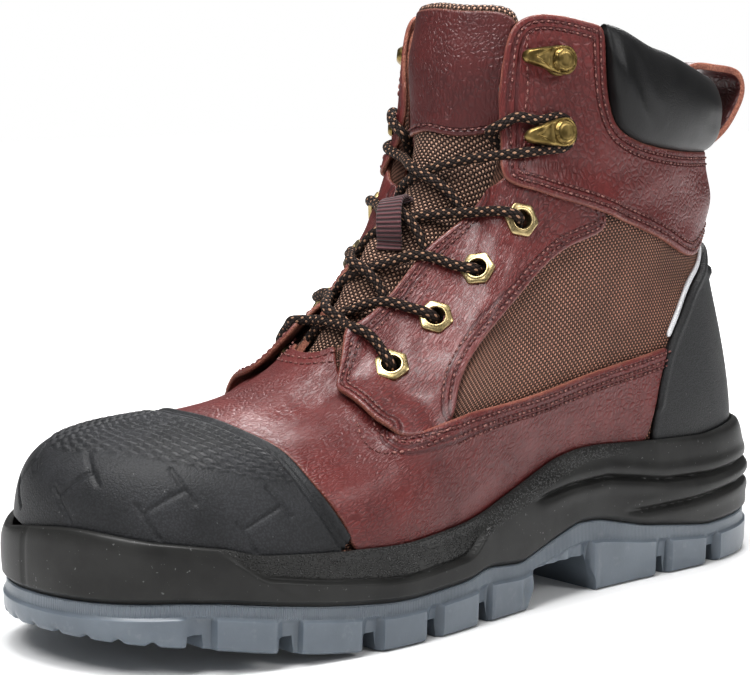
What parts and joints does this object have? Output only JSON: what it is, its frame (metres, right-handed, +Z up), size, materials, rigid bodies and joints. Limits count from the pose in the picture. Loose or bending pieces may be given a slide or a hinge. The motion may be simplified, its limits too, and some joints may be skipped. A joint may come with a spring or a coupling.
{
  "type": "composite toe work boot",
  "caption": "Left lace-up ankle work boot with a composite toe under a rubber cap, leather and nylon upper, padded collar, brass eyelets and hooks, and a lugged two-layer sole.",
  "frame": {"origin": "on the floor, under the middle of the boot's box", "axes": "+X from heel to toe, +Y to the outer side of the left foot, +Z up"},
  "size_m": [0.317, 0.1134, 0.207],
  "materials": {
    "outsole_grey": "translucent satin rubber",
    "midsole_black": "moulded, satin with a fine stipple",
    "nylon": "coarse plain weave",
    "lining": "matt mesh",
    "leather_red": "pebbled, oiled",
    "leather_black": "smooth, soft gloss",
    "rubber_black": "moulded, satin grain",
    "webbing": "ribbed webbing",
    "reflective": "reflective tape",
    "brass": "antique, polished on the edges",
    "cord": "round braid with light flecks"
  },
  "bodies": {
    "root": {"outsole": "outsole_grey", "midsole": "midsole_black", "upper": "nylon", "insole": "lining", "tongue": "nylon", "tongue_patch": "leather_red", "lace_keeper": "webbing", "vamp": "leather_red", "toe_cap": "rubber_black", "eyestay_lateral": "leather_red", "eyestay_medial": "leather_red", "ankle_panel": "leather_red", "collar": "leather_black", "heel_counter": "rubber_black", "piping_lateral": "reflective", "piping_medial": "reflective", "pull_loop": "leather_red", "eyelet_lateral_1": "brass", "eyelet_lateral_2": "brass", "eyelet_lateral_3": "brass", "eyelet_lateral_4": "brass", "hook_lateral_1": "brass", "hook_lateral_2": "brass", "eyelet_medial_1": "brass", "eyelet_medial_2": "brass", "eyelet_medial_3": "brass", "eyelet_medial_4": "brass", "hook_medial_1": "brass", "hook_medial_2": "brass", "lace_bar": "cord", "lace_cross_1": "cord", "lace_cross_2": "cord", "lace_cross_3": "cord", "lace_cross_4": "cord"}
  },
  "joints": []
}
